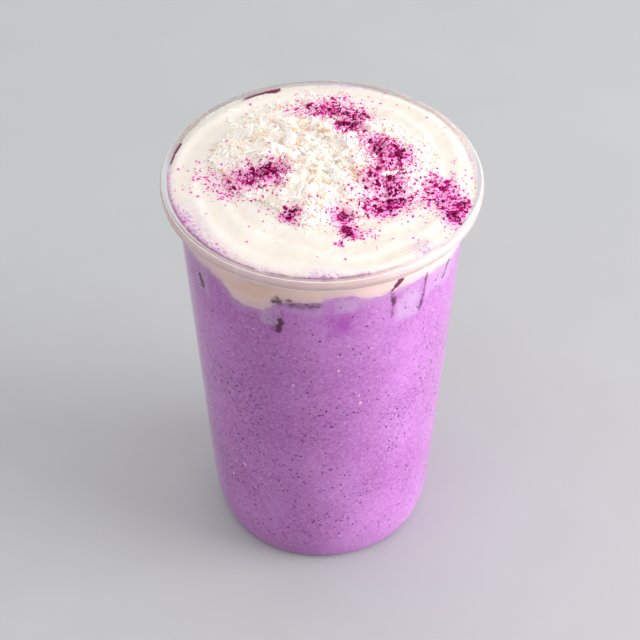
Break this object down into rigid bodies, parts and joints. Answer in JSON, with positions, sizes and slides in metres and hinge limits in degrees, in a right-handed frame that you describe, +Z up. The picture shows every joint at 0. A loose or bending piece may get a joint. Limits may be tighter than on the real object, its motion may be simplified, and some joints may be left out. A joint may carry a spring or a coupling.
{
  "type": "taro bubble tea",
  "caption": "Purple taro milk in a clear takeaway cup, capped with milk foam to the rim, under a heap of grated coconut dusted with purple yam powder.",
  "frame": {"origin": "on the cup's axis, at the surface that it stands on", "axes": "+Z up along the cup's axis; -Y faces the viewer of the picture and +X is to the right"},
  "size_m": [0.09, 0.09, 0.1321],
  "materials": {
    "clear_plastic": "thin clear PET, glossy, seen through",
    "taro_milk": "cloudy purple liquid, wet where it meets the wall",
    "milk_foam": "soft cream-coloured foam with a satin skin",
    "grated_coconut": "moist white flakes with tan edges"
  },
  "bodies": {
    "root": {"cup": "clear_plastic", "taro_milk": "taro_milk", "milk_foam": "milk_foam", "grated_coconut": "grated_coconut"}
  },
  "joints": []
}
